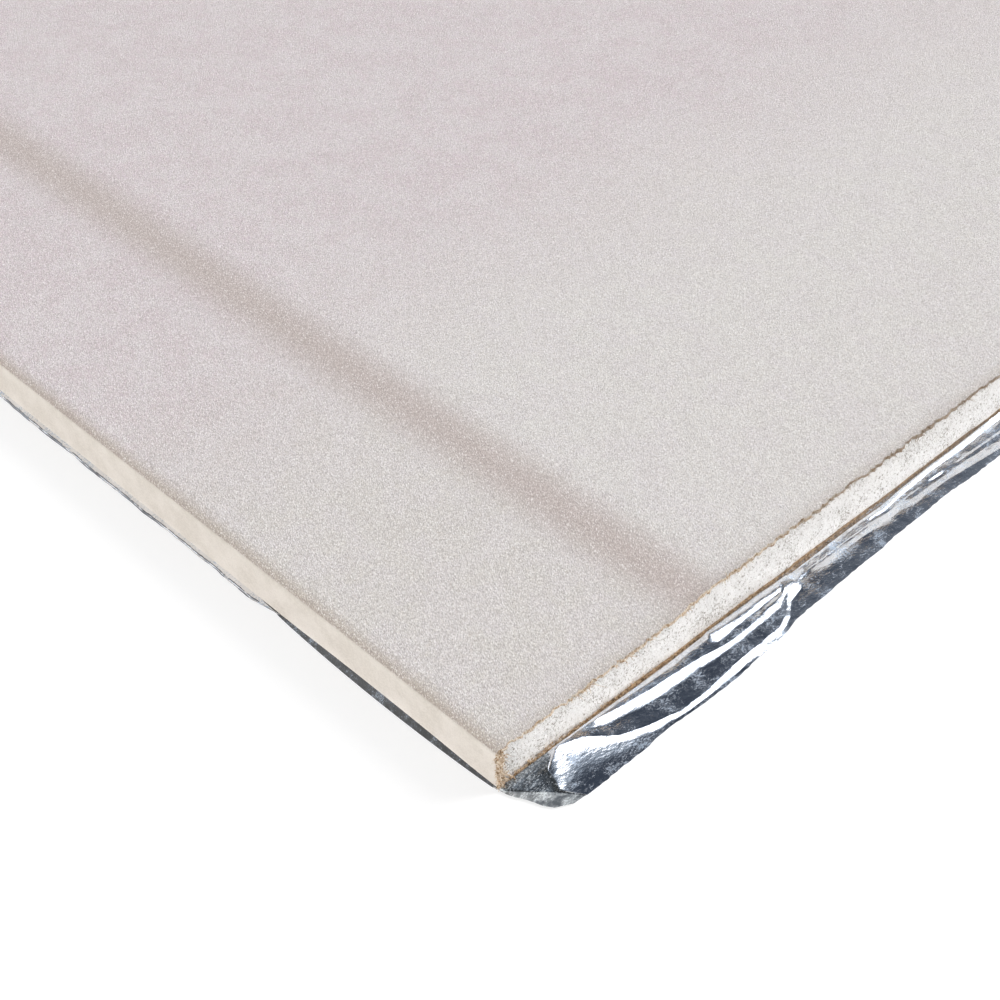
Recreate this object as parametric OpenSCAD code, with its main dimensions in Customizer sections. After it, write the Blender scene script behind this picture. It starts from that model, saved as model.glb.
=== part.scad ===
// Foil-backed plasterboard with two tapered long edges, lying face up on its foil.
// Length runs along X, width along Y and thickness along Z. The origin is the middle of the underside.

/* [Board] */
// Length of the board along its paper-bound edges
board_l = 2400; // [600:1:3600]
// Width of the board between its paper-bound edges
board_w = 1200; // [300:1:1250]
// Thickness of the board in its field, with liners and foil
board_t = 12.5; // [9.5:0.5:25]

/* [Tapered edges] */
// Reach of the taper in from each long edge
taper_w = 69; // [40:1:80]
// Depth of the taper below the field
taper_d = 2.1; // [0.6:0.1:2.5]
// Width of the ramp from the field down into the taper
ramp_w = 22; // [8:1:30]
// Width of the roll-off beside the arris
roll_w = 7; // [4:0.5:9]
// Drop of the face across the roll-off
roll_d = 0.4; // [0.1:0.1:1]

/* [Paper liners] */
// Thickness of the face paper, which wraps the core
face_paper_t = 0.4; // [0.2:0.05:0.8]
// Thickness of the back paper
back_paper_t = 0.4; // [0.2:0.05:0.8]
// Width of the face paper folded in under each long edge
fold_w = 20; // [10:1:40]
// Distance that the back paper stops short of each long edge
back_inset = 3; // [1:0.5:8]

/* [Foil] */
// Thickness of the foil with its glue line
foil_t = 0.1; // [0.05:0.01:0.3]
// Overhang of the foil past each long edge
foil_side = 1.5; // [0.1:0.1:5]
// Overhang of the foil past the sawn end, as a loose flap
flap_w = 13.5; // [12:0.5:60]
// Distance of the flap's ridge from the sawn end
ridge_out = 4; // [1:0.5:6]
// Height of the ridge off the floor
ridge_h = 1.8; // [0.8:0.1:4]
// Width of the hem that bends down to the floor along the flap's rim
hem_w = 3; // [1:0.5:5]
// Height of the hem's bend off the floor
hem_h = 0.7; // [0.1:0.1:0.8]
// Length cut off the flap at each corner, on the slant
flap_cut = 11; // [0:0.5:40]

/* [Hidden] */

// Straight stretches that stand for the curve of the roll-off and of the ramp
roll_steps = 6;
ramp_steps = 10;

// Levels of the layers, up from the floor
back_z = foil_t;
fold_z = back_z + back_paper_t;
core_edge_z = fold_z + face_paper_t;
recess_z = board_t - taper_d;

// Distances in from a long edge at which the face turns
recess_end = taper_w - ramp_w;
face_turns = concat(
    [for (i = [0:roll_steps]) roll_w * i / roll_steps],
    [for (i = [0:ramp_steps]) recess_end + ramp_w * i / ramp_steps]
);

// Gentle S from 0 to 1, level at both ends
function s_curve(t) = t * t * (3 - 2 * t);

// Height of the board's face at a distance in from a long edge
function face_z(in) =
    in < roll_w ? recess_z - roll_d * pow(1 - in / roll_w, 3)
    : in < recess_end ? recess_z
    : in < taper_w ? recess_z + taper_d * s_curve((in - recess_end) / ramp_w)
    : board_t;

// Line across the board from edge to edge, a given depth beneath its skin
function across(depth) =
    let (
        half = [
            for (turn = face_turns)
                let (in = max(turn, depth)) [in - board_w / 2, face_z(in) - depth]
        ]
    )
    concat(half, [for (i = [len(half) - 1:-1:0]) [-half[i].x, half[i].y]]);

// Section drawn across the board, run along its length
module along_board() {
    rotate([90, 0, 90])
        linear_extrude(board_l, center = true)
            children();
}

// Set gypsum, notched under each long edge for the folded face paper
module gypsum_core() {
    side = board_w / 2 - face_paper_t;
    fold = board_w / 2 - fold_w;
    color("whitesmoke")
        along_board()
            polygon(concat(
                across(face_paper_t),
                [[side, core_edge_z], [fold, core_edge_z], [fold, fold_z]],
                [[-fold, fold_z], [-fold, core_edge_z], [-side, core_edge_z]]
            ));
}

// One sheet over the face, round both long edges and in under the core
module face_paper() {
    side = board_w / 2;
    inside = side - face_paper_t;
    fold = side - fold_w;
    skin = across(0);
    lining = across(face_paper_t);
    color("gainsboro")
        along_board()
            polygon(concat(
                skin,
                [[side, fold_z], [fold, fold_z], [fold, core_edge_z], [inside, core_edge_z]],
                [for (i = [len(lining) - 1:-1:0]) lining[i]],
                [[-inside, core_edge_z], [-fold, core_edge_z], [-fold, fold_z], [-side, fold_z]]
            ));
}

// Flat sheet that closes the back and laps over the folds
module back_paper() {
    color("peru")
        translate([0, 0, back_z + back_paper_t / 2])
            cube([board_l, board_w - 2 * back_inset, back_paper_t], center = true);
}

// Line of the foil along the board and down its creased flap past the sawn end
function foil_line(lift) = [
    [-board_l / 2, lift],
    [board_l / 2, lift],
    [board_l / 2 + ridge_out, lift + ridge_h],
    [board_l / 2 + flap_w - hem_w, lift + hem_h],
    [board_l / 2 + flap_w, lift]
];

// Outline of the foil seen from above
function foil_plan() = [
    [-board_l / 2, -board_w / 2 - foil_side],
    [board_l / 2, -board_w / 2 - foil_side],
    [board_l / 2, -board_w / 2],
    [board_l / 2 + flap_w, flap_cut - board_w / 2],
    [board_l / 2 + flap_w, board_w / 2 - flap_cut],
    [board_l / 2, board_w / 2],
    [board_l / 2, board_w / 2 + foil_side],
    [-board_l / 2, board_w / 2 + foil_side]
];

// Metallised film glued over the whole back, loose past the sawn end
module foil() {
    upper = foil_line(foil_t);
    color("silver")
        intersection() {
            rotate([90, 0, 0])
                linear_extrude(board_w + 2 * foil_side, center = true)
                    polygon(concat(foil_line(0), [for (i = [len(upper) - 1:-1:0]) upper[i]]));
            linear_extrude(ridge_h + foil_t)
                polygon(foil_plan());
        }
}

gypsum_core();
face_paper();
back_paper();
foil();
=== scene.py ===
from math import cos, pi, radians, sin

import bpy
import numpy as np
from mathutils import Matrix, Vector


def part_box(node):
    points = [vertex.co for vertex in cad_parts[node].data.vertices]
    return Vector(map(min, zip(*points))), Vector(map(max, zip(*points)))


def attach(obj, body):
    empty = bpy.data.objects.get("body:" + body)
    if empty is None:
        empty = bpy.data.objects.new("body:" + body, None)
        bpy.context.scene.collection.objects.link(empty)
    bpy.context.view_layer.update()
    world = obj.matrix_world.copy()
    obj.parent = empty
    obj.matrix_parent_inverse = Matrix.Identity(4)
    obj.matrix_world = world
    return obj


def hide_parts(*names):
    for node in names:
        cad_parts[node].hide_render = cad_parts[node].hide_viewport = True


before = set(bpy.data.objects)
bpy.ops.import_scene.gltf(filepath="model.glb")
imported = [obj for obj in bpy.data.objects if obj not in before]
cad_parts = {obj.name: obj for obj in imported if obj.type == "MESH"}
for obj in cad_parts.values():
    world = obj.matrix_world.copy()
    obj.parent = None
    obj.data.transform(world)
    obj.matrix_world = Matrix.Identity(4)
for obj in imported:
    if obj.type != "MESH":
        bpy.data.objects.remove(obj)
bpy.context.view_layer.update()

# Gypsum core
# Gypsum paste set hard between the two papers as one slab, full of fine air pores.
# Both ends are sawn across and show its grain. The end with the loose foil is the rougher cut.

mm = 0.001
core_low, core_high = (np.array(corner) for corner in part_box("gypsum_core"))
face_low, face_high = (np.array(corner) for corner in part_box("face_paper"))
half_length = face_high[0]
half_width = face_high[1]
board_t = face_high[2]
paper_t = board_t - core_high[2]
taper_w = 69 * mm
taper_d = 2.1 * mm
ramp_w = 22 * mm
roll_w = 7 * mm
roll_d = 0.4 * mm
fold_w = 20 * mm
press_reach = 18 * mm
core_columns = 1800
core_rows = 22
rough_set_back = 0.2 * mm
plain_set_back = 0.15 * mm
plain_roughness = 0.5
wander_d = 0.14 * mm
slow_swing = 16 * mm
quick_swing = 5 * mm
# Lumps of a sawn end: how far they stand out, how long and how tall they are, in mm
sawn_lumps = [(0.12, 7, 5), (0.08, 2.2, 1.8), (0.03, 1.1, 1.1)]
pit_w = 1.3 * mm
pit_d = 0.8
pit_start = 0.6
gypsum_dull = (0.825, 0.80, 0.765)
gypsum_pale = (0.895, 0.88, 0.86)
gypsum_dust = (0.94, 0.925, 0.91)
crumb_shade_grey = (0.58, 0.54, 0.49)
pore_shade_brown = (0.25, 0.20, 0.15)


def face_height(y, pressed=0.0):
    """Field, then an S down the ramp into the taper and a cubic roll-off. Pressing widens the ramp."""
    inward = half_width - np.abs(y)
    middle = taper_w - ramp_w / 2
    ramp = np.clip(0.5 + (inward - middle) / (ramp_w * (1 + pressed)), 0, 1)
    roll = np.clip(1 - inward / roll_w, 0, 1)
    return board_t - taper_d * (1 - ramp * ramp * (3 - 2 * ramp)) - roll_d * roll**3


def drift(u, v, seed):
    """Smooth noise from -1 to 1: random numbers at the whole points of a plane, eased between them."""
    size = 256
    table = np.random.default_rng(seed).uniform(-1, 1, (size, size))
    u, v = np.broadcast_arrays(u, v)
    left, low = np.floor(u).astype(int), np.floor(v).astype(int)
    across, up = u - left, v - low
    across, up = across * across * (3 - 2 * across), up * up * (3 - 2 * up)
    sides = [
        table[(left + i) % size, low % size] * (1 - up) + table[(left + i) % size, (low + 1) % size] * up
        for i in (0, 1)
    ]
    return sides[0] * (1 - across) + sides[1] * across


def crowded(low, high, count):
    """Places from low to high, closest together at the low end: their spacing grows nearly fivefold."""
    t = np.linspace(0, 1, count)
    return low + (high - low) * (0.4 * t + 0.6 * t**2.5)


def quads(ids):
    """Four corners for each cell of a grid of point numbers, turned so that rows then columns face out."""
    return np.stack([ids[:-1, :-1], ids[:-1, 1:], ids[1:, 1:], ids[1:, :-1]], -1).reshape(-1, 4)


def make_piece(name, points, faces, sharp=40, marks={}):
    """Puts an array of points and arrays of faces, one for each number of corners, into a smooth piece."""
    mesh = bpy.data.meshes.new(name)
    corners = np.concatenate([group.ravel() for group in faces])
    sizes = np.concatenate([np.full(len(group), group.shape[1]) for group in faces])
    mesh.vertices.add(len(points))
    mesh.vertices.foreach_set("co", np.asarray(points, np.float32).ravel())
    mesh.loops.add(len(corners))
    mesh.loops.foreach_set("vertex_index", corners.astype(np.int32))
    mesh.polygons.add(len(sizes))
    mesh.polygons.foreach_set("loop_start", (np.cumsum(sizes) - sizes).astype(np.int32))
    mesh.update(calc_edges=True)
    mesh.validate()
    mesh.shade_smooth()
    mesh.set_sharp_from_angle(angle=radians(sharp))
    for mark, values in marks.items():
        mesh.attributes.new(mark, "FLOAT", "POINT").data.foreach_set("value", values.astype(np.float32))
    piece = bpy.data.objects.new(name, mesh)
    bpy.context.scene.collection.objects.link(piece)
    return piece


class Wire:
    """One socket of a finish. Python's operators on it add Math nodes."""

    def __init__(self, finish, socket):
        self.finish = finish
        self.socket = socket

    def maths(self, operation, first, second):
        return self.finish.node("ShaderNodeMath", {"operation": operation}, {0: first, 1: second})

    def __add__(self, other):
        return self.maths("ADD", self, other)

    def __sub__(self, other):
        return self.maths("SUBTRACT", self, other)

    def __rsub__(self, other):
        return self.maths("SUBTRACT", other, self)

    def __mul__(self, other):
        return self.maths("MULTIPLY", self, other)

    __radd__ = __add__
    __rmul__ = __mul__


class Finish:
    """A material or a world being made. Its node method adds any node, sets it up and fills its sockets."""

    def __init__(self, owner, place="Object"):
        owner.use_nodes = True
        self.owner = owner
        self.tree = owner.node_tree
        self.shader = self.tree.nodes.get("Principled BSDF") or self.tree.nodes.get("Background")
        self.place = self.node("ShaderNodeTexCoord", out=place)

    def node(self, kind, settings={}, sockets={}, out=0):
        made = self.tree.nodes.new(kind)
        for key, value in settings.items():
            if key == "stops":
                while len(made.color_ramp.elements) < len(value):
                    made.color_ramp.elements.new(1)
                for stop, (at, colour) in zip(made.color_ramp.elements, value):
                    stop.position, stop.color = at, (*colour, 1)
            else:
                setattr(made, key, value)
        self.fill(made, sockets)
        return Wire(self, made.outputs[out])

    def fill(self, made, sockets):
        for key, value in sockets.items():
            if isinstance(value, Wire):
                self.tree.links.new(value.socket, made.inputs[key])
            else:
                made.inputs[key].default_value = value

    def grain(self, size, detail=2, roughness=0.5, stretch=(1, 1, 1), swirl=0.0, turn=0.0):
        """Noise with blotches about size metres across, longer where stretch is larger.

        It is swirled, and turned about Z in degrees.
        """
        at = self.node(
            "ShaderNodeMapping",
            {"vector_type": "TEXTURE"},
            {"Vector": self.place, "Scale": stretch, "Rotation": (0, 0, radians(turn))},
        )
        kind = {"Scale": 1 / size, "Detail": detail, "Roughness": roughness, "Distortion": swirl}
        return self.node("ShaderNodeTexNoise", {}, {"Vector": at, **kind})

    def rise(self, value, low, high):
        """Eases from 0 to 1 as a value goes from low to high."""
        return self.node(
            "ShaderNodeMapRange",
            {"interpolation_type": "SMOOTHSTEP"},
            {"Value": value, "From Min": low, "From Max": high},
        )

    def blend(self, share, first, second):
        """Mixes two colours, each a wire or three numbers."""
        first, second = (c if isinstance(c, Wire) else (*c, 1) for c in (first, second))
        return self.node("ShaderNodeMix", {"data_type": "RGBA"}, {0: share, 6: first, 7: second}, 2)

    def ramp(self, value, stops):
        """Colour picked from stops by a value."""
        return self.node("ShaderNodeValToRGB", {"stops": stops}, {0: value})

    def coordinate(self, axis):
        """Distance from the middle of the board along X, Y or Z, in metres."""
        split = self.node("ShaderNodeSeparateXYZ", {}, {0: self.place}, axis)
        return self.node("ShaderNodeMath", {"operation": "ABSOLUTE"}, {0: split})

    def bump(self, height, distance, strength=1.0):
        """Normal tilted by a height map whose full range is a distance."""
        sockets = {"Height": height, "Distance": distance, "Strength": strength}
        return self.node("ShaderNodeBump", {}, sockets)

    def surface(self, sockets):
        self.fill(self.shader, sockets)
        return self.owner


def wander(y):
    """Swing of the rough sawn end in and out along its length, in metres, slow and quick."""
    return wander_d * (drift(y / slow_swing, 0.0, 7) + drift(y / quick_swing, 0.0, 8))


def crumbled(y, z, seed):
    """Relief of a sawn end in metres: lumps of three sizes, less pits where a fourth noise runs high."""
    lumps = 0.0
    for step, (out, long, tall) in enumerate(sawn_lumps):
        lumps = lumps + out * drift(y / (long * mm), z / (tall * mm), seed + step)
    pits = np.clip(drift(y / pit_w, z / pit_w, seed + len(sawn_lumps)) - pit_start, 0, 1)
    return mm * (lumps - pit_d * pits)


def core_section(pressed):
    """Heights of the core's section on a grid: columns across the board, rows from its back to its face."""
    y = crowded(-half_width + paper_t, half_width - paper_t, core_columns)
    over_fold = half_width - np.abs(y) < fold_w
    bottom = np.where(over_fold, core_low[2] + paper_t, core_low[2])
    top = face_height(y, pressed) - paper_t
    share = np.linspace(0, 1, core_rows)[:, None]
    z = bottom + share * (top - bottom)
    return np.broadcast_to(y, z.shape), z


def rim_of(grid):
    """The outermost ring of a grid, from its first corner round and back to it."""
    return np.concatenate([grid[0], grid[1:, -1], grid[-1, -2::-1], grid[-2:0:-1, 0], grid[0, :1]])


y, z = core_section(1.0)
sawn = np.stack([half_length - rough_set_back + wander(y) + crumbled(y, z, 11), y, z], -1)
y, z = core_section(0.0)
square = np.stack([-half_length + plain_set_back - plain_roughness * crumbled(y, z, 31), y, z], -1)
band = rim_of(np.stack([np.full(y.shape, half_length - press_reach), y, z], -1))[:-1]
count = y.size
front = np.arange(count).reshape(y.shape)
middle = 2 * count + np.append(np.arange(len(band)), 0)
walls = [np.stack([middle, rim_of(front)]), np.stack([rim_of(front) + count, middle])]
gypsum_core = make_piece(
    "gypsum_core",
    np.concatenate([sawn.reshape(-1, 3), square.reshape(-1, 3), band]),
    [quads(front), quads(front + count)[:, ::-1], *(quads(wall) for wall in walls)],
    sharp=60,
)

gypsum = Finish(bpy.data.materials.new("sawn_gypsum"))
crumbs = gypsum.grain(0.9 * mm, 3, 0.65, swirl=0.6)
dust = gypsum.grain(0.3 * mm, 2, 0.6)
holes = gypsum.grain(0.45 * mm, 2, 0.65, swirl=0.8)
cloud = gypsum.grain(6 * mm, 2)
# Pores: pits in the relief, with their shade painted in dark brown
shaded_pores = gypsum.rise(holes + 0.3 * cloud, 0.71, 0.78)
# Painted shade: grey in the hollows between the crumbs of the relief
painted_crumb_shade = 1 - gypsum.rise(crumbs, 0.34, 0.46)
colour = gypsum.blend(cloud, gypsum_dull, gypsum_pale)
colour = gypsum.blend(0.6 * gypsum.rise(dust, 0.35, 0.62), colour, gypsum_dust)
# Painted shade between the crumbs
colour = gypsum.blend(0.35 * painted_crumb_shade, colour, crumb_shade_grey)
# Painted shade: dark brown in the pores
colour = gypsum.blend(0.75 * shaded_pores, colour, pore_shade_brown)
rough = gypsum.bump(crumbs - 0.6 * shaded_pores, 0.45 * mm, 0.65)
gypsum_core.data.materials.append(
    gypsum.surface({"Base Color": colour, "Roughness": 0.95, "Specular IOR Level": 0.2, "Normal": rough})
)
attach(gypsum_core, "root")
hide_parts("gypsum_core")

# Face paper
# One sheet of pale grey liner, pressed and dried onto the wet core over its face and round both long edges.
# It is folded in under the core. The saw tore it along the rough end, where its tan inner plies fray.

fold_z = face_low[2]
arris_r = 0.5 * mm
fold_points = 7
side_points = 16
arris_points = 7
wrap_points = fold_points + side_points + arris_points
face_columns = 1300
torn_rows = np.array([0, 0.1, 0.25, 0.45, 0.8, 1.3, 2.0, 3.0, 5.0, 8.0, 12.0, 18.0]) * mm
plain_rows = np.array([0, 0.4, 14]) * mm
tear_reach = 2.2 * mm
curl_reach = 1.3 * mm
lip_reach = 0.35 * mm
split_reach = 0.5 * mm
edge_split = 3.0
fibre_inset = 0.6 * mm
tuft_in = 26 * mm
tuft_w = 1.2 * mm
spike_points = 9
nap_turn = -27
liner_warm = (0.715, 0.695, 0.675)
liner_cool = (0.73, 0.71, 0.71)
recess_tan = (0.645, 0.61, 0.585)
blush_pink = (0.625, 0.525, 0.58)
patch_pink = (0.70, 0.655, 0.69)
straw = (0.78, 0.725, 0.64)
lump_grey = (0.62, 0.59, 0.575)
ramp_shade_brown = (0.53, 0.452, 0.425)
arris_brown = (0.43, 0.345, 0.265)
cut_shade_brown = (0.50, 0.43, 0.37)
nap_dark = (0.36, 0.325, 0.31)
nap_light = (0.95, 0.935, 0.92)
fleck_brown = (0.45, 0.39, 0.34)
edge_cream = (0.685, 0.64, 0.585)
edge_pale = (0.79, 0.745, 0.695)
edge_felt = (0.85, 0.80, 0.74)
edge_dark = (0.56, 0.50, 0.43)
ply_dark = (0.24, 0.14, 0.07)
ply_tan = (0.60, 0.43, 0.27)
ply_pale = (0.88, 0.80, 0.69)
far_fray_shade = (0.17, 0.125, 0.095)


def paper_path(depth):
    """Section of the face paper as one line a given depth beneath its skin.

    It runs along the fold, up the edge, round the arris, over the face and back down the other side.
    """
    edge = half_width - depth
    arris = face_height(half_width) - depth
    radius = max(arris_r - depth, 0.05 * mm)
    turn = np.linspace(0, pi / 2, arris_points)
    across = np.linspace(half_width - fold_w, edge, fold_points + 1)[:-1]
    upward = np.linspace(fold_z + depth, arris - radius, side_points + 1)[:-1]
    fold = np.stack([across, np.full(fold_points, fold_z + depth)], -1)
    side = np.stack([np.full(side_points, edge), upward], -1)
    corner = np.stack([edge - radius + radius * np.cos(turn), arris - radius + radius * np.sin(turn)], -1)
    right = np.concatenate([fold, side, corner])
    y = crowded(-edge + radius, edge - radius, face_columns + 2)[1:-1]
    face = np.stack([y, face_height(y) - depth], -1)
    return np.concatenate([right * (-1, 1), face, right[::-1]])


def tear_line(along):
    """Reach of a tear past the board's end in metres: slow swings, quick ones and nicks."""
    swing = 0.14 * drift(along / (6 * mm), 0.0, 51) + 0.2 * drift(along / (2.0 * mm), 0.0, 52)
    return mm * (0.12 + swing + 0.34 * drift(along / (0.8 * mm), 0.0, 53))


skin = paper_path(0)
lining = paper_path(paper_t)
loop = np.concatenate([skin, lining[::-1]])
along = np.concatenate([[0], np.cumsum(np.hypot(*np.diff(skin, axis=0).T))])
along = np.concatenate([along, along[::-1]])
half = len(skin)
on_skin = np.arange(len(loop)) < half
on_face = np.abs(loop[:, 0]) < half_width - 1.2 * arris_r
on_edge = ~on_face & (loop[:, 1] > fold_z + 0.6 * paper_t)


def torn_end():
    """Rows of the paper inwards from the tear: the face curls up to a ragged lip and the plies spread."""
    row = torn_rows[:, None]
    ease = np.clip(1 - row / press_reach, 0, 1)
    ease = ease * ease * (3 - 2 * ease)
    tear = tear_line(along) + wander(loop[:, 0])
    x = half_length - row + tear * np.clip(1 - row / tear_reach, 0, 1) ** 2
    pressed = face_height(loop[:, 0], ease) - face_height(loop[:, 0])
    curl = np.clip(0.2 + 0.2 * drift(along / (7 * mm), 0.0, 54), 0, 1) * np.exp(-((row / curl_reach) ** 2))
    lip = np.clip(0.3 * drift(along / (1.4 * mm), 0.0, 56), 0, 1) * np.exp(-((row / lip_reach) ** 2))
    spread = np.clip(0.2 + 0.35 * drift(along / (3 * mm), 0.0, 55), 0, 1)
    spread = spread * np.clip(1 - row / split_reach, 0, 1)
    z = loop[:, 1] + on_face * (pressed + mm * on_skin * (curl + lip) - mm * ~on_skin * spread)
    y = loop[:, 0] - mm * (on_edge & ~on_skin) * np.sign(loop[:, 0]) * edge_split * spread
    return np.stack([x, y, z], -1)


def plain_end():
    """Rows of the paper inwards from the square-cut end."""
    x = -half_length + plain_rows[:, None] + 0.3 * tear_line(along)
    flat = np.broadcast_to(loop, (len(plain_rows), *loop.shape))
    return np.concatenate([np.broadcast_to(x[..., None], (*flat.shape[:2], 1)), flat], -1)


def fibres(roots, ways, lengths, widths, seed):
    """Closed three-sided spikes that taper from root to tip, each straight along its way plus a bend.

    The bend grows with the square of the distance. A spike that droops comes to rest on the film.
    """
    chance = np.random.default_rng(seed)
    number = len(roots)
    ways = ways / np.linalg.norm(ways, axis=1, keepdims=True)
    side = np.cross(ways, chance.normal(size=(number, 3)))
    side = side / np.linalg.norm(side, axis=1, keepdims=True)
    up = np.cross(ways, side)
    share = np.array([0, 0.5, 1])[None, :, None]
    bend = chance.normal(0, 0.4, (number, 1, 3))
    line = roots[:, None] + lengths[:, None, None] * (ways[:, None] * share + bend * share**2)
    line[..., 2] = np.maximum(line[..., 2], fold_z / 2)
    turn = 2 * pi * np.arange(3) / 3
    ring = side[:, None] * np.cos(turn)[:, None] + up[:, None] * np.sin(turn)[:, None]
    thickness = widths[:, None, None] * (1 - 0.75 * share)
    points = line[:, :, None] + ring[:, None] * thickness[..., None]
    ids = np.arange(number * spike_points).reshape(number, 3, 3)
    wrap = np.concatenate([ids, ids[:, :, :1]], 2)
    walls = [wrap[:, :-1, :-1], wrap[:, :-1, 1:], wrap[:, 1:, 1:], wrap[:, 1:, :-1]]
    caps = np.concatenate([ids[:, 0, ::-1], ids[:, 2]])
    return points.reshape(-1, 3), np.stack(walls, -1).reshape(-1, 4), caps


def fibre_ways(chance, count, outward, sway, upward, scatter):
    """Random directions: evenly outwards up to a limit, with normal chance sideways and upwards."""
    return np.stack([
        chance.uniform(0, outward, count),
        chance.normal(0, sway, count),
        chance.normal(upward, scatter, count),
    ], -1)


def torn_face_fibres(count, seed):
    """Fibres out of the torn face paper: roots on the tear through its thickness, ways mostly out."""
    chance = np.random.default_rng(seed)
    side = half_width - fibre_inset
    y = np.clip(crowded(-side, side, count) + chance.normal(0, 0.3 * mm, count), -side, side)
    on_top = slice(wrap_points, half - wrap_points)
    place = np.interp(y, skin[on_top, 0], along[on_top])
    z = face_height(y, 1.0) + mm * chance.uniform(-0.6, 0.3, count)
    roots = np.stack([half_length + tear_line(place) + wander(y) - 0.1 * mm, y, z], -1)
    ways = fibre_ways(chance, count, 1, 0.8, 0.1, 0.5)
    tuft = np.clip(0.5 + 0.8 * drift(place / (2.5 * mm), 0.0, seed + 1), 0.1, 1.4)
    tuft = tuft + 0.9 * np.exp(-(((y + half_width - tuft_in) / tuft_w) ** 2))
    lengths = mm * tuft * chance.uniform(0.3, 1.2, count)
    widths = mm * tuft**0.5 * chance.uniform(0.06, 0.15, count)
    return roots, ways, lengths, widths


def torn_edge_fibres(side, count, seed):
    """Fibres of the wrapped corner: roots on the paper's cut strip and the core by it, ways down and in."""
    chance = np.random.default_rng(seed)
    z = chance.uniform(fold_z, face_height(half_width) - 0.1 * mm, count)
    inward = np.abs(chance.normal(0, 1.0, count)) * (0.9 + 0.6 * drift(z / (1.6 * mm), 0.0, seed + 3))
    x = half_length + mm * chance.uniform(-0.1, 0.3, count)
    roots = np.stack([x, side * (half_width - mm * inward), z], -1)
    ways = fibre_ways(chance, count, 0.6, 0.6, -0.2, 0.7)
    lengths = mm * chance.uniform(0.3, 1.0, count)
    widths = mm * chance.uniform(0.06, 0.16, count)
    return roots, ways, lengths, widths


stations = np.concatenate([torn_end(), plain_end()[::-1]])
ids = np.arange(stations.shape[0] * stations.shape[1]).reshape(stations.shape[:2])
caps = []
for row, flip in ((ids[0], 1), (ids[-1], -1)):
    caps.append(quads(np.stack([row[:half], row[: half - 1 : -1]]))[:, ::flip])
points = [stations.reshape(-1, 3)]
faces = [quads(np.concatenate([ids, ids[:, :1]], 1)), *caps]
first = ids.size
for roots, ways, lengths, widths in (
    torn_face_fibres(4200, 61),
    torn_edge_fibres(-1, 900, 62),
    torn_edge_fibres(1, 900, 63),
):
    spikes, sides, tips = fibres(roots, ways, lengths, widths, 64)
    points.append(spikes)
    faces += [sides + first, tips + first]
    first += len(spikes)
torn = np.zeros(first)
torn[ids.size :] = 1
torn[ids[0]] = 1
torn[ids[1]] = np.where(on_skin, 0.35, 1)
face_paper = make_piece("face_paper", np.concatenate(points), faces, sharp=35, marks={"torn": torn})

paper = Finish(bpy.data.materials.new("face_liner"))
fine = paper.grain(0.19 * mm, 2, 0.6, (2.6, 1, 1), 0.3, nap_turn)
felt = paper.grain(0.5 * mm, 2, 0.6, (2, 1, 1), 0.3, nap_turn)
lumps = paper.grain(1.3 * mm, 2, 0.6, (2, 1, 1), 0.3, nap_turn)
hue = paper.grain(0.4 * mm, 2, 0.7, (2, 1, 1), 0.5)
cloud = paper.grain(70 * mm, 3)
patch = paper.grain(8 * mm, 2)
ply = paper.grain(0.45 * mm, 2, 0.6)
fleck = paper.rise(paper.grain(0.9 * mm, 1), 0.73, 0.79)
inward = half_width - paper.coordinate(1)
behind = half_length - paper.coordinate(0)
blush = paper.rise(behind + 60 * mm * paper.grain(60 * mm, 2), 95 * mm, 200 * mm)
sunk = 1 - paper.rise(inward, taper_w - ramp_w, taper_w)
# Painted shade down the ramp into the taper, which deepens the ramp's own shading
painted_ramp_shade = paper.rise(inward, taper_w - ramp_w, taper_w - ramp_w / 2)
painted_ramp_shade = painted_ramp_shade * (1 - paper.rise(inward, taper_w - ramp_w / 2, taper_w))
# Darker brown within a few mm of the arris
toned_down = 1 - paper.rise(inward + 1.5 * mm * felt, 0.6 * mm, 5.5 * mm)
side = 1 - paper.rise(inward, 0.15 * mm, 0.5 * mm)
# Painted shade over the last few mm of paper before the torn end
painted_cut_shade = 1 - paper.rise(behind + 2 * mm * felt, 1 * mm, 5 * mm)
raw = paper.node("ShaderNodeAttribute", {"attribute_name": "torn"}, out="Fac")
colour = paper.blend(cloud, liner_warm, liner_cool)
colour = paper.blend(0.8 * sunk, colour, recess_tan)
colour = paper.blend(0.95 * blush, colour, blush_pink)
colour = paper.blend(0.5 * paper.rise(patch, 0.38, 0.62), colour, patch_pink)
colour = paper.blend(0.4 * paper.rise(hue, 0.35, 0.7), colour, straw)
colour = paper.blend(0.4 * paper.rise(lumps, 0.35, 0.65), colour, lump_grey)
# Painted shade on the taper's ramp
colour = paper.blend(0.95 * painted_ramp_shade, colour, ramp_shade_brown)
colour = paper.blend(0.8 * toned_down, colour, arris_brown)
# Painted shade by the torn end
colour = paper.blend(0.4 * painted_cut_shade, colour, cut_shade_brown)
colour = paper.blend(0.85 * paper.rise(fine, 0.54, 0.28), colour, nap_dark)
colour = paper.blend(0.85 * paper.rise(fine, 0.5, 0.7), colour, nap_light)
colour = paper.blend(0.6 * fleck, colour, fleck_brown)
bound = paper.blend(paper.rise(patch, 0.35, 0.65), edge_cream, edge_pale)
bound = paper.blend(0.5 * paper.rise(felt, 0.3, 0.7), bound, edge_felt)
bound = paper.blend(0.35 * paper.rise(fine, 0.52, 0.3), bound, edge_dark)
colour = paper.blend(side, colour, bound)
fray = paper.ramp(ply, [(0.32, ply_dark), (0.44, ply_tan), (0.58, ply_pale)])
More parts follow.
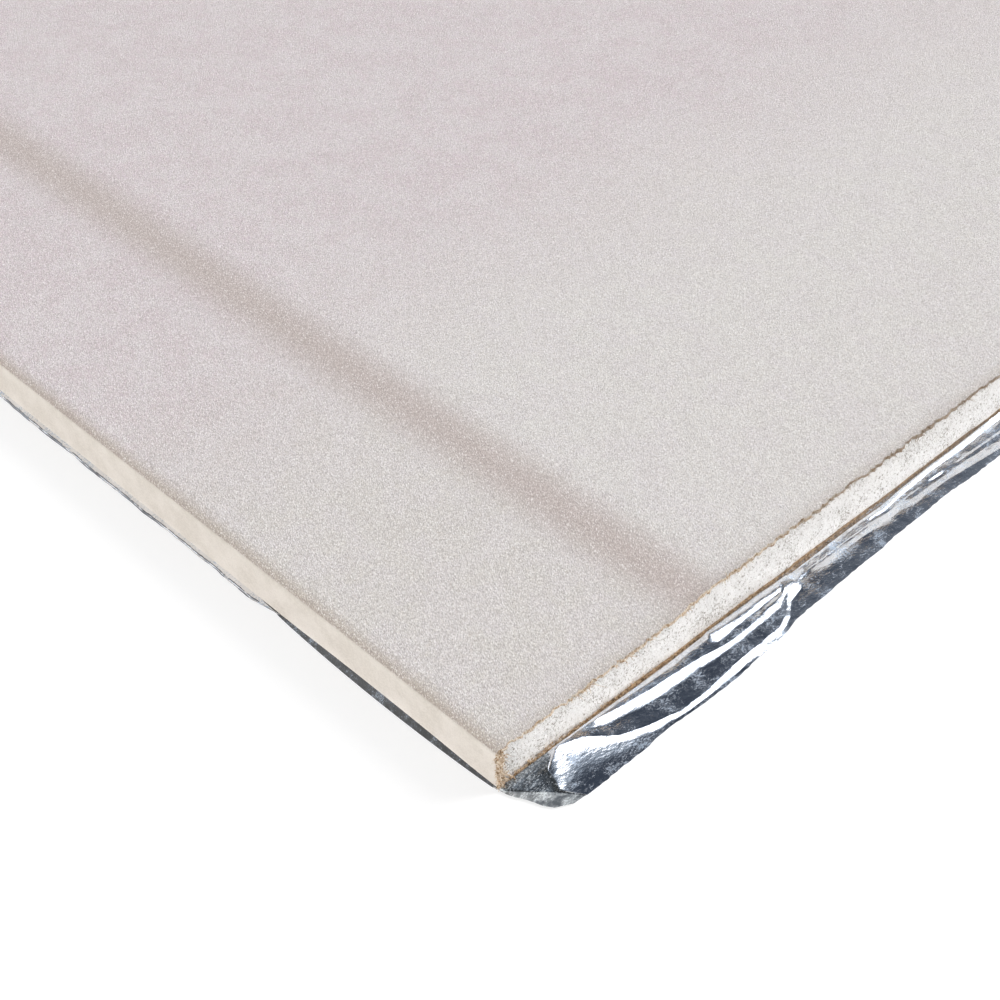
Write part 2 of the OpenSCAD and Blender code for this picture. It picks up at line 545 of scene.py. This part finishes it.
# Painted shade: further along the end the frayed plies turn near-black brown
fray = paper.blend(0.6 * paper.rise(inward, 50 * mm, 130 * mm), fray, far_fray_shade)
colour = paper.blend(raw, colour, fray)
relief = paper.bump((fine + 0.8 * felt) * (1 - 0.5 * side), 0.17 * mm)
face_paper.data.materials.append(
    paper.surface({"Base Color": colour, "Roughness": 0.9, "Specular IOR Level": 0.25, "Normal": relief})
)
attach(face_paper, "root")
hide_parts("face_paper")

# Back paper
# A flat sheet of brown liner that closes the back and laps over the folds of the face paper.
# The saw tore it too, so along the rough end it is ragged and stands a little past the gypsum.

back_low, back_high = (np.array(corner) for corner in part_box("back_paper"))
back_columns = 1800
ragged_reach = 50 * mm
frayed_reach = 60 * mm
flat_from = 0.5 * mm
strand_dark = (0.11, 0.06, 0.028)
strand_tan = (0.64, 0.45, 0.275)
blotch_tan = (0.56, 0.40, 0.26)
split_tan = (0.76, 0.60, 0.43)
brown_far = (0.22, 0.17, 0.13)


def by_corner(y, reach):
    """Share that falls away from 1 at the photographed corner, as an exponential along the end."""
    return np.exp(-(y + half_width) / reach)


def brown_tear(y):
    """Reach of the brown tear past the end in metres: widest by the corner, with slow and quick swings."""
    near = by_corner(y, ragged_reach)
    swing = 0.16 * drift(y / (5 * mm), 0.0, 71) + 0.24 * drift(y / (0.9 * mm), 0.0, 72)
    return mm * (0.12 + 0.65 * near + swing * (0.4 + 0.8 * near))


def brown_fibres(count, seed):
    """Fibres out of the brown tear: roots in its thickness and just above it, ways out and sideways."""
    chance = np.random.default_rng(seed)
    y = crowded(back_low[1], back_high[1], count)
    near = by_corner(y, frayed_reach)
    reach = brown_tear(y) * chance.uniform(-0.2, 1, count)
    z = back_low[2] + mm * chance.uniform(0.05, 0.5 + 1.0 * near, count)
    roots = np.stack([half_length + reach + wander(y), y, z], -1)
    ways = fibre_ways(chance, count, 1, 0.9, 0.1, 0.4)
    size = 0.5 + 0.8 * near
    lengths = mm * size * chance.uniform(0.3, 1.0, count)
    widths = mm * size * chance.uniform(0.06, 0.16, count)
    return roots, ways, lengths, widths


y = crowded(back_low[1], back_high[1], back_columns)
lift = mm * by_corner(y, ragged_reach) * (0.55 + 0.5 * drift(y / (1.1 * mm), 0.0, 76))
rows = np.stack([
    half_length + brown_tear(y) + wander(y),
    np.full(len(y), half_length - flat_from),
    np.full(len(y), -half_length),
])
across = np.broadcast_to(y, rows.shape)
upper = np.stack([rows, across, back_high[2] + np.stack([lift, 0 * y, 0 * y])], -1).reshape(-1, 3)
under = np.stack([rows, across, np.full(rows.shape, back_low[2])], -1).reshape(-1, 3)
top = np.arange(rows.size).reshape(rows.shape)
edge = rim_of(top)
spikes, sides, tips = fibres(*brown_fibres(5000, 73), 74)
first = 2 * rows.size
sheet = [quads(top), quads(top + rows.size)[:, ::-1], quads(np.stack([edge + rows.size, edge]))]
ply = np.zeros(first + len(spikes))
shades = np.random.default_rng(75).uniform(0.2, 1, len(spikes) // spike_points)
ply[first:] = np.repeat(shades, spike_points)
back_paper = make_piece(
    "back_paper",
    np.concatenate([upper, under, spikes]),
    [*sheet, sides + first, tips + first],
    marks={"ply": ply},
)

brown = Finish(bpy.data.materials.new("brown_liner"))
strands = brown.grain(0.55 * mm, 3, 0.75, swirl=0.8)
blotch = brown.grain(2.5 * mm, 2)
split = brown.node("ShaderNodeAttribute", {"attribute_name": "ply"}, out="Fac")
far = brown.rise(half_width - brown.coordinate(1), 50 * mm, 130 * mm)
colour = brown.blend(brown.rise(strands, 0.40, 0.60), strand_dark, strand_tan)
colour = brown.blend(0.6 * brown.rise(blotch, 0.5, 0.7), colour, blotch_tan)
colour = brown.blend(brown.rise(split, 0.55, 1), colour, split_tan)
colour = brown.blend(0.6 * far, colour, brown_far)
relief = brown.bump(strands, 0.3 * mm, 0.8)
back_paper.data.materials.append(
    brown.surface({"Base Color": colour, "Roughness": 0.92, "Specular IOR Level": 0.2, "Normal": relief})
)
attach(back_paper, "root")
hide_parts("back_paper")

# Foil
# A bright metallised film glued over the whole back. It was not sawn off with the board, so past the rough
# end it is a loose creased flap, tucked under itself at the corner, and it peeps out along the long edges.

film_t = back_low[2]
bare_film_t = 0.03 * mm
film_bright = (0.86, 0.88, 0.92)
reflection_speck_blue = (0.66, 0.77, 0.92)
# Colours of the painted reflection at the flap's corner: a dull dark one, and the tuck's pale grey one
dull_reflection_dark = (0.15, 0.175, 0.20)
dull_reflection_light = (0.52, 0.56, 0.60)
tuck_dark = (0.20, 0.22, 0.24)
tuck_light = (0.70, 0.74, 0.76)
# Lengths in mm: the rim's height off the glue line, the smooth slope along each side by the corner,
# the finely crinkled stretch of each side and the closely divided stretch of the flap
rim_z = 0.08
slope_l = 70
crinkled_l = 360
close_l = 190
# Plain folds along the end, in mm: the first one, the step between them and the gap left at the far side
plain_first = 166
plain_step = 12.0
plain_stop = 30
# Corner of the flap: the tuck's rim, both sides of the fold above it, both sides of the border of the
# corner's painted dull reflection and the far side of the streak. Each is fourteen points from the ridge to
# the rim: how far along the end and how far out in mm, and how steeply the film falls in degrees
corner_folds = [
    [(0, 0.3, 0), (0, 0.5, 0), (0, 0.8, 0), (0.1, 1.2, 0), (0.1, 1.5, 0),
     (0.3, 2.2, 0), (0.6, 3.1, 0), (1.0, 4.0, 0), (1.7, 5.2, 0), (2.2, 6.2, 0),
     (2.7, 7.5, 0), (3.3, 9.2, 0), (4.6, 11.2, 0), (8.0, 13.0, 0)],
    [(0.05, 0.3, 1), (0.1, 0.5, 1), (0.2, 0.8, 1), (0.3, 1.2, 1), (0.4, 1.5, 1),
     (1.2, 2.4, 1), (2.1, 3.4, 1), (3.0, 4.4, 1), (4.2, 5.7, 1), (5.2, 6.7, 1),
     (6.2, 7.7, 1), (7.3, 8.8, 1), (8.5, 10.3, 1), (10.9, 13.3, 1)],
    [(0.1, 0.3, 2), (0.2, 0.5, 2), (0.3, 0.8, 2), (0.45, 1.2, 2), (0.6, 1.5, 2),
     (1.4, 2.3, 2), (2.3, 3.3, 2), (3.2, 4.3, 2), (4.4, 5.6, 2), (5.4, 6.6, 2),
     (6.4, 7.6, 2), (7.5, 8.7, 2), (8.7, 10.2, 2), (11.1, 13.3, 2)],
    [(12.4, 1.2, -20), (12.3, 1.4, -20), (12.2, 1.6, -20), (12.1, 1.9, 10), (11.9, 2.2, 14),
     (11.6, 2.7, 14), (11.0, 3.2, 14), (10.2, 3.7, 12), (9.5, 4.3, 11), (9.2, 5.5, 11),
     (8.8, 7.0, 11), (8.2, 8.8, 10), (8.9, 10.2, 7), (11.2, 13.35, 3)],
    [(12.6, 1.2, -20), (12.5, 1.4, -20), (12.4, 1.6, -20), (12.3, 1.9, 10), (12.1, 2.2, 16),
     (11.8, 2.7, 16), (11.2, 3.2, 16), (10.4, 3.7, 16), (9.7, 4.3, 9), (9.4, 5.5, 9),
     (9.0, 7.0, 10), (8.45, 8.8, 14), (9.1, 10.2, 8), (11.3, 13.35, 0)],
    [(13.8, 1.3, -20), (13.8, 1.4, -20), (13.8, 1.5, -20), (13.8, 1.6, -20), (13.8, 1.7, -20),
     (13.8, 1.8, 0), (13.8, 1.9, 8), (13.8, 2.0, 10), (13.8, 2.1, 12), (13.8, 2.3, 17),
     (13.8, 3.2, 16), (12.2, 7.0, 11.5), (9.5, 10.0, 9.5), (11.4, 13.4, 0)],
]
# Painted reflection on each of those lines: 1 is a dull, dark reflection, 2 a pale grey one
corner_reflection_paint = [2, 1.9, 1, 1, 0, 0]
# Folds further along: place along the end, then the same fourteen points as how far out and how steeply
flap_folds = [
    (15, (1.3, -20), (1.35, -20), (1.4, -20), (1.45, -20), (1.5, -10), (1.53, 0), (1.56, 8),
     (1.6, 11), (1.7, 12), (1.9, 16.5), (3.1, 16.5), (5.4, 11.7), (9.5, 9), (13.5, 0)),
    (20, (1.5, -8), (1.6, -8), (1.7, -8), (1.8, 5), (1.9, 9), (2.0, 9), (2.2, 9),
     (2.6, 9), (3.2, 9), (3.4, 16.5), (5.5, 16.5), (7.5, 11.7), (11.0, 8), (13.3, 0)),
    (26, (1.3, -8), (1.9, -8), (2.0, 8), (2.05, 10), (2.1, 10), (2.2, 17), (3.7, 17),
     (4.5, 5), (7.5, 3), (7.8, 16.5), (8.8, 16.5), (10.0, 12), (11.6, 8), (13.2, 0)),
    (32, (1.3, -8), (1.9, -8), (2.0, 9), (2.4, 10), (2.85, 10), (3.05, 17), (4.5, 17),
     (5.4, 5), (9.5, 2), (9.8, 16.5), (10.9, 16.5), (11.6, 9), (12.2, 4), (12.9, 0)),
    (40, (1.4, -8), (2.4, -8), (2.5, 9), (3.2, 10), (3.8, 10), (4.0, 17), (5.9, 17),
     (6.8, 5), (11.2, 2), (11.6, 16.5), (12.3, 16.5), (12.5, 8), (12.7, 4), (13.0, 0)),
    (47, (1.4, -8), (2.7, -8), (2.8, 8), (3.6, 9), (4.3, 9), (4.5, 17), (6.0, 17),
     (6.9, 5), (11.4, 2), (11.8, 16.5), (12.6, 16.5), (12.8, 8), (13.0, 4), (13.3, 0)),
    (54, (1.4, -8), (2.5, -8), (2.6, 8), (3.6, 9), (5.0, 8), (5.2, 17), (6.5, 17),
     (7.3, 5), (10.9, 2), (11.2, 16.5), (12.4, 16.5), (12.7, 8), (12.9, 4), (13.3, 0)),
    (57, (1.4, -8), (2.4, -8), (2.5, 9), (3.5, 9), (5.6, 8), (5.8, 17), (6.8, 17),
     (7.6, 5), (10.7, 2), (10.9, 16.5), (12.3, 16.5), (12.6, 8), (12.8, 4), (13.2, 0)),
    (59, (1.4, -10), (2.5, 17), (4.4, 17), (4.8, 8), (5.9, 8), (6.1, 17), (7.0, 17),
     (7.6, 5), (10.6, 2), (10.8, 16.5), (12.0, 16.5), (12.3, 12), (12.6, 8), (13.0, 5)),
    (63, (1.4, -8), (3.1, 17), (4.4, 17), (4.7, 8), (6.1, 7), (6.3, 17), (7.1, 17),
     (7.6, 5), (10.4, 2), (10.7, 16.5), (11.9, 16.5), (12.2, 14), (12.4, 14), (12.8, 12)),
    (68, (1.4, -8), (3.3, 17), (4.1, 17), (4.4, 8), (5.9, 6), (6.1, 17), (7.0, 17),
     (7.5, 4), (10.2, 2), (10.5, 16.5), (11.5, 16.5), (11.8, 14), (12.0, 14), (12.4, 12)),
    (72, (1.4, -8), (3.4, 17), (4.0, 17), (4.5, 6), (5.2, 0), (5.9, 17), (6.9, 17),
     (7.4, 4), (10.0, 2), (10.4, 16.5), (11.2, 16.5), (11.5, 14), (11.8, 14), (12.1, 12)),
    (76, (1.4, -8), (3.3, 17), (3.9, 17), (4.3, 6), (4.9, 0), (5.6, 17), (6.7, 17),
     (7.2, 11), (8.5, 10), (8.9, 17), (9.7, 17), (10.0, 4), (10.5, 2), (11.0, 0)),
    (78, (1.4, -8), (3.2, 17), (3.8, 17), (4.1, 6), (4.6, 1), (5.0, 17), (5.8, 17),
     (6.2, 11), (7.1, 10), (7.4, 17), (8.2, 17), (8.5, 4), (9.8, 2), (10.9, 0)),
    (80, (1.4, -8), (3.1, 17), (3.7, 17), (3.9, 9), (4.2, 7), (4.4, 17), (4.9, 17),
     (5.1, 12), (5.5, 12), (5.7, 17), (6.7, 17), (7.0, 4), (9.3, 2), (10.8, 0)),
    (82, (1.4, -8), (2.0, -8), (2.1, 10), (2.8, 10), (3.3, 10), (3.5, 17), (4.3, 17),
     (4.4, 17), (4.6, 17), (4.8, 17), (6.2, 17), (6.6, 4), (9.3, 2), (10.8, 0)),
    (84.5, (1.4, -8), (1.9, -8), (2.0, 9), (2.6, 9), (3.2, 9), (3.7, 17), (4.2, 17),
     (4.4, 17), (4.8, 17), (5.0, 17), (5.6, 17), (6.0, 4), (9.3, 2), (10.8, 0)),
    (86.5, (1.4, -8), (1.9, -8), (2.0, 9), (2.2, 4), (3.0, 4), (3.4, 10), (3.6, 17),
     (3.8, 17), (4.0, 15), (4.2, 9), (4.6, 6), (5.2, 3), (9.3, 1), (10.8, 0)),
    (90, (1.5, -8), (1.7, -8), (1.8, 12), (2.4, 11), (2.7, 10), (3.0, 9.5), (3.1, 3),
     (3.2, 3), (3.3, 9.3), (3.6, 8.5), (3.8, 7.5), (4.3, 6), (9.0, 2), (10.7, 0)),
    (100, (1.2, -8), (1.7, -8), (1.9, 12), (2.5, 10.5), (2.8, 10), (3.0, 9.5), (3.1, 3),
     (3.2, 3), (3.3, 9.3), (3.7, 8.7), (3.8, -4), (4.6, -4), (4.7, 6), (10.3, 0)),
    (110, (1.2, -8), (1.7, -8), (1.9, 12), (2.5, 10.5), (2.9, 9.8), (3.1, 9.5), (3.2, 3),
     (3.3, 3), (3.4, 9), (3.8, 8.5), (3.9, -4), (5.1, -4), (5.2, 6), (9.9, 0)),
    (117, (1.4, -8), (2.3, -8), (2.5, 17), (3.0, 17), (3.1, 8), (3.3, 9), (3.5, 9),
     (3.7, 8), (3.8, -2), (4.0, -4), (5.4, -4), (5.5, 5), (7.6, 4), (9.5, 0)),
    (126, (1.1, -8), (1.4, -8), (1.6, 17), (2.4, 17), (2.6, 9), (3.4, 8), (3.5, 1),
     (3.7, 1), (3.8, 8), (4.7, 7), (4.9, -3), (6.0, -3), (6.2, 5), (9.4, 0)),
    (135, (1.0, -8), (1.2, -8), (1.4, 17), (2.2, 17), (2.4, 9), (3.6, 8), (3.8, 16),
     (4.2, 16), (4.3, 8), (5.0, 6), (5.2, -3), (6.4, -3), (6.6, 5), (9.5, 0)),
    (145, (1.0, -8), (1.1, -8), (1.3, 17), (2.3, 17), (2.5, 9), (3.9, 8), (4.0, 1),
     (4.4, 1), (4.5, 8), (5.2, 6), (5.4, -4), (7.5, -4), (7.7, 5), (9.8, 0)),
    (155, (0.9, -8), (1.0, -8), (1.2, 17), (2.3, 17), (2.6, 9), (4.4, 8), (4.5, 2),
     (5.0, 2), (5.1, 8), (6.4, 6), (6.6, -4), (8.5, -4), (8.7, 5), (10.0, 0)),
]
middle_crease = 8


def flap_creases():
    """Crease points, folds by creases: the corner, the folds further along, plain ones and the far corner.

    Plain folds carry on the last one, each crease shifted and tilted at random.
    """
    chance = np.random.default_rng(5)
    corner = np.array(corner_folds, float)
    near = np.array([[(place, *crease) for crease in creases] for place, *creases in flap_folds], float)
    places = np.arange(plain_first, 2 * half_width / mm - plain_stop, plain_step)
    plain = np.repeat(near[-1:], len(places), 0)
    plain[..., 0] = places[:, None] + chance.normal(0, 0.8, plain.shape[:2])
    plain[:, 1:, 1] += np.sort(chance.normal(0, 0.25, plain[:, 1:].shape[:2]), 1)
    plain[:, 1:-1, 2] += chance.normal(0, 4, plain[:, 1:-1].shape[:2])
    far = corner[::-1] * (-1, 1, 1) + (2 * half_width / mm, 0, 0)
    scuff = np.concatenate([corner_reflection_paint, np.zeros(len(near) + len(plain)), corner_reflection_paint[::-1]])
    return np.concatenate([corner, near, plain, far]), scuff


def stepped(first, line, steps):
    """One coordinate of the flap, row by row: its first places, then each crease's place plus its steps."""
    return np.concatenate([first, (line[:, :-1, None] + steps).reshape(len(line), -1)], 1)


def flap_surface():
    """Flap as a grid, with its levels of painted reflection. Falls change evenly between creases, so heights
    run as parabolas.

    From the ridge to the board the film bends down again as a power of the distance.
    """
    creases, scuff = flap_creases()
    places = creases[:, middle_crease, 0]
    start = np.concatenate([[0], np.cumsum(np.maximum(np.abs(np.diff(places)), 1))])
    close_end = start[np.searchsorted(places, close_l)]
    divided = np.concatenate([np.arange(0, close_end, 0.5), np.arange(close_end, start[-1], 5)])
    divided = np.union1d(divided, start)
    v, u, fall = (
        np.stack([np.interp(divided, start, line) for line in creases[..., k].T], -1) for k in range(3)
    )
    nick = 0.12 * drift(divided / 1.2, 0.0, 93) + 0.15 * drift(divided / 7, 0.0, 94)
    u[:, -1] = np.maximum(u[:, -1] + nick, u[:, -2] + 0.1)
    fall = np.tan(np.radians(fall))
    wide = np.diff(u, axis=1)
    drops = wide * (fall[:, 1:] + fall[:, :-1]) / 2
    z = rim_z + np.concatenate([np.cumsum(drops[:, ::-1], 1)[:, ::-1], np.zeros((len(divided), 1))], 1)
    share = np.linspace(0, 1, 4)[1:]
    ease = np.array([0, 0.35, 0.6, 0.78, 0.9, 0.96, 1])
    part_drops = fall[:, :-1, None] * share + np.diff(fall, axis=1)[..., None] * share**2 / 2
    out = stepped(u[:, :1] * ease, u, wide[..., None] * share)
    along_end = stepped(v[:, :1] + 0 * ease, v, np.diff(v, axis=1)[..., None] * share)
    height = stepped(z[:, :1] * ease**4, z, -wide[..., None] * part_drops)
    crinkle = 0.045 * drift(along_end / 5, out / 2.4, 91)
    crinkle = crinkle + 0.016 * drift(along_end / 1.6, out / 1.0, 92)
    height = np.maximum(height + crinkle * np.clip((out - 1) / 3, 0, 1), 0.02)
    scuff = np.broadcast_to(np.interp(divided, start, scuff)[:, None], out.shape)
    return np.stack([out, along_end, height], -1) * mm + (half_length, -half_width, film_t / 2), scuff


def side_strip(side, seed):
    """Film past a long edge: by the corner a smooth slope, further on a crinkled bank with a crisp hem."""
    far = np.linspace(-half_length, half_length - crinkled_l * mm, 150)[:-1]
    x = np.concatenate([far, half_length - mm * np.arange(crinkled_l, -0.3, -0.6)])
    back = (half_length - x) / mm
    smooth = np.sin(pi * np.clip(back / slope_l, 0, 1)) ** 0.7
    loose = np.clip((back - slope_l) / 6, 0, 1)
    reach = 1.35 + 0.15 * drift(back / 9, 0.0, seed) + 0.15 * drift(back / 2.5, 0.0, seed + 1)
    reach = 0.25 + 1.2 * smooth + (reach - 0.25) * loose
    share = np.array([0, 0.02, 0.3, 0.6, 0.76, 0.78, 0.86, 0.88, 1.0])
    slope = np.array([0, 1, 0.7, 0.38, 0.22, 0.2, 0.12, 0.1, 0])
    bank = np.array([0, 0.45, 0.40, 0.34, 0.31, 0.29, 0.05, 0.02, 0])
    crumple = 0.04 * drift(back[:, None] / 2.4, share * 3, seed + 2)
    crumple = crumple + 0.07 * drift(back[:, None] / 1.1, share * 5, seed + 3)
    crumple = np.abs(crumple) * np.array([0, 0, 0.6, 1, 1, 1, 0.2, 0.2, 0])
    hem = 0.12 * drift(back / 6, 0.0, seed + 4) + 0.1 * drift(back / 1.8, 0.0, seed + 5)
    crumple = crumple + np.clip(hem, 0, 0.15)[:, None] * np.array([0, 0, 0, 0, 0, 0, 0.9, 1, 0])
    y = side * (half_width + mm * reach[:, None] * share)
    z = film_t / 2 + mm * (0.9 * smooth[:, None] * slope + loose[:, None] * (bank + crumple))
    return np.stack([np.broadcast_to(x[:, None], y.shape), y, z], -1)


flap, scuff = flap_surface()
grids = [flap, side_strip(-1, 101), side_strip(1, 111)]
numbers, first = [], 0
for grid in grids:
    numbers.append(first + np.arange(grid.shape[0] * grid.shape[1]).reshape(grid.shape[:2]))
    first += grid.shape[0] * grid.shape[1]
faces = [quads(numbers[0]), quads(numbers[1])[:, ::-1], quads(numbers[2])]
field = np.concatenate([numbers[1][:-1, 0], numbers[0][:, 0], numbers[2][-2::-1, 0]])
marks = {"scuff": np.concatenate([scuff.ravel(), np.zeros(first - scuff.size)])}
points = np.concatenate([grid.reshape(-1, 3) for grid in grids])
foil = make_piece("foil", points, [*faces, field[None, :]], sharp=30, marks=marks)
# The flap's creases are rounded by its grid, so only the film's rim and the folds of the sides are sharp
uses = np.zeros(len(foil.data.loops), np.int32)
foil.data.loops.foreach_get("edge_index", uses)
ends = np.zeros((len(foil.data.edges), 2), np.int32)
foil.data.edges.foreach_get("vertices", ends.ravel())
crisp = np.zeros(len(ends), bool)
foil.data.edges.foreach_get("use_edge_sharp", crisp)
crisp = (crisp & (ends.min(1) >= scuff.size)) | (np.bincount(uses) == 1)
foil.data.edges.foreach_set("use_edge_sharp", crisp)

film = Finish(bpy.data.materials.new("bright_film"))
speck = film.grain(0.3 * mm, 2, 0.7, (1, 1.8, 1))
mottle = film.grain(1.6 * mm, 3, 0.6, (1, 1.8, 1))
speck_cloud = film.grain(7 * mm, 2)
reflection_paint_level = film.node("ShaderNodeAttribute", {"attribute_name": "scuff"}, out="Fac")
# Painted reflection at the flap's corner: up to a mark of 1 the film darkens to a dull, rougher reflection,
# and from 1 to 2 it turns a less metallic, mottled pale grey
dull = film.rise(reflection_paint_level, 0, 1)
pale = film.rise(reflection_paint_level, 1.3, 1.8)
# Painted reflection: specks of the film are less metallic and lit as paint, in a bluish tint for the room's
# reflection
painted_reflection_specks = film.rise(speck + 0.7 * mottle + 0.6 * speck_cloud, 1.12, 1.42)
toned_down = film.blend(film.rise(speck, 0.35, 0.7), dull_reflection_dark, dull_reflection_light)
toned_down = film.blend(pale, toned_down, film.blend(film.rise(mottle, 0.35, 0.62), tuck_dark, tuck_light))
tint = film.blend(painted_reflection_specks, film_bright, reflection_speck_blue)
tint = film.blend(dull, tint, toned_down)
foil.data.materials.append(film.surface({
    "Base Color": tint,
    "Metallic": 1 - 0.4 * painted_reflection_specks - 0.5 * pale,
    "Roughness": 0.08 + 0.1 * painted_reflection_specks + 0.15 * dull,
    "Normal": film.bump(mottle + 0.15 * speck, 0.07 * mm),
}))
thick = foil.modifiers.new("film_thickness", "SOLIDIFY")
thick.thickness = bare_film_t
thick.offset = 0
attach(foil, "root")
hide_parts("foil")

# Floor
# A plain white studio floor. Its own paint is lit and takes the shadow, and a glow seen only by the camera
# and in reflections brings it up to white. It can be seen through from beneath.

floor_r = 60.0
floor_z = -0.3 * mm
floor_sides = 96
floor_glow = 0.76
ring = 2 * pi * np.arange(floor_sides) / floor_sides
floor = make_piece(
    "floor",
    np.stack([floor_r * np.cos(ring), floor_r * np.sin(ring), np.full(floor_sides, floor_z)], -1),
    [np.arange(floor_sides)[None, :]],
)
paint = Finish(bpy.data.materials.new("white_floor"))
seeing = ("Camera", "Glossy", "Transmission")
rays = [paint.node("ShaderNodeLightPath", out=f"Is {kind} Ray") for kind in seeing]
seen = paint.node("ShaderNodeMath", {"operation": "MINIMUM"}, {0: rays[0] + rays[1] + rays[2], 1: 1.0})
beneath = paint.node("ShaderNodeNewGeometry", out="Backfacing")
floor.data.materials.append(paint.surface({
    "Base Color": (0.3, 0.3, 0.3, 1),
    "Roughness": 1.0,
    "Specular IOR Level": 0.0,
    "Emission Color": paint.blend(seen, (0, 0, 0), (1, 1, 1)),
    "Emission Strength": floor_glow,
    "Alpha": 1 - beneath,
}))

# Light
# A soft key from behind shows the taper and the grain. Low fills light the long edge and the plain end.
# A tall soft box behind, in a dim room, lights the rest and gives the film its streaks.

room_low = (0.62, 0.60, 0.58)
room_glow = (0.52, 0.59, 0.68)
soft_box = (2.3, 2.3, 2.33)


def toward(turn, rise):
    """Direction at a compass turn from +X and a rise above the floor, in degrees."""
    return Vector((
        cos(radians(turn)) * cos(radians(rise)),
        sin(radians(turn)) * cos(radians(rise)),
        sin(radians(rise)),
    ))


def lamp(name, turn, rise, strength, spread, colour):
    """Parallel light from a direction, as soft as its spread."""
    data = bpy.data.lights.new(name, "SUN")
    data.energy, data.angle, data.color = strength, radians(spread), colour
    light = bpy.data.objects.new(name, data)
    light.rotation_euler = toward(turn, rise).to_track_quat("Z", "Y").to_euler()
    bpy.context.scene.collection.objects.link(light)


lamp("key", turn=62, rise=30, strength=2.85, spread=30, colour=(1.0, 0.985, 0.97))
lamp("fill", turn=-76, rise=7, strength=2.7, spread=20, colour=(1.0, 0.975, 0.95))
lamp("end_fill", turn=180, rise=2.5, strength=1.2, spread=20, colour=(1.0, 0.98, 0.96))

room = Finish(bpy.data.worlds.new("room"), "Generated")
bpy.context.scene.world = room.owner
x, y, z = (room.node("ShaderNodeSeparateXYZ", {}, {0: room.place}, axis) for axis in range(3))
front = room.ramp(z, [(0.0, room_low), (0.3, (0.34, 0.34, 0.34)), (0.7, (0.10, 0.098, 0.095))])
back = room.ramp(z, [
    (0.0, room_low),
    (0.25, (0.34, 0.35, 0.36)),
    (0.62, (0.17, 0.19, 0.22)),
    (0.78, (0.047, 0.058, 0.08)),
    (0.90, (0.038, 0.047, 0.065)),
])
near = 1 - 0.6 * room.rise(y, 0.48, 0.6)
back = room.blend(0.85 * near * room.rise(x, -0.25, -0.05), back, room_glow)
walls = room.blend(room.rise(y, -0.1, 0.3), front, back)
box = room.rise(x, -0.07, -0.03) * (1 - room.rise(x, 0.42, 0.48))
box = box * room.rise(y, 0.09, 0.15) * room.rise(z, 0.36, 0.42)
room.surface({"Color": room.blend(box, walls, soft_box)})

# Camera
# Stands off the corner and looks down on it, at the photograph's angle, slightly rolled.

sensor_w = 36.0
focal_px = 1883.4
frame_px = 1000
look_turn = 138.492
look_down = 41.255
roll = -2.729
eye = Vector((half_length + 181.06 * mm, -half_width - 156.04 * mm, 284.62 * mm))

ahead = toward(look_turn, -look_down)
level = ahead.cross(Vector((0, 0, 1))).normalized()
above = level.cross(ahead)
right = level * cos(radians(roll)) + above * sin(radians(roll))
up = above * cos(radians(roll)) - level * sin(radians(roll))
view = Matrix((right, up, -ahead)).transposed().to_4x4()
view.translation = eye
camera_data = bpy.data.cameras.new("camera")
camera_data.sensor_width = sensor_w
camera_data.lens = sensor_w * focal_px / frame_px
camera_data.clip_start = 0.01
camera = bpy.data.objects.new("camera", camera_data)
camera.matrix_world = view
bpy.context.scene.collection.objects.link(camera)
bpy.context.scene.camera = camera
bpy.context.scene.view_settings.view_transform = "Standard"
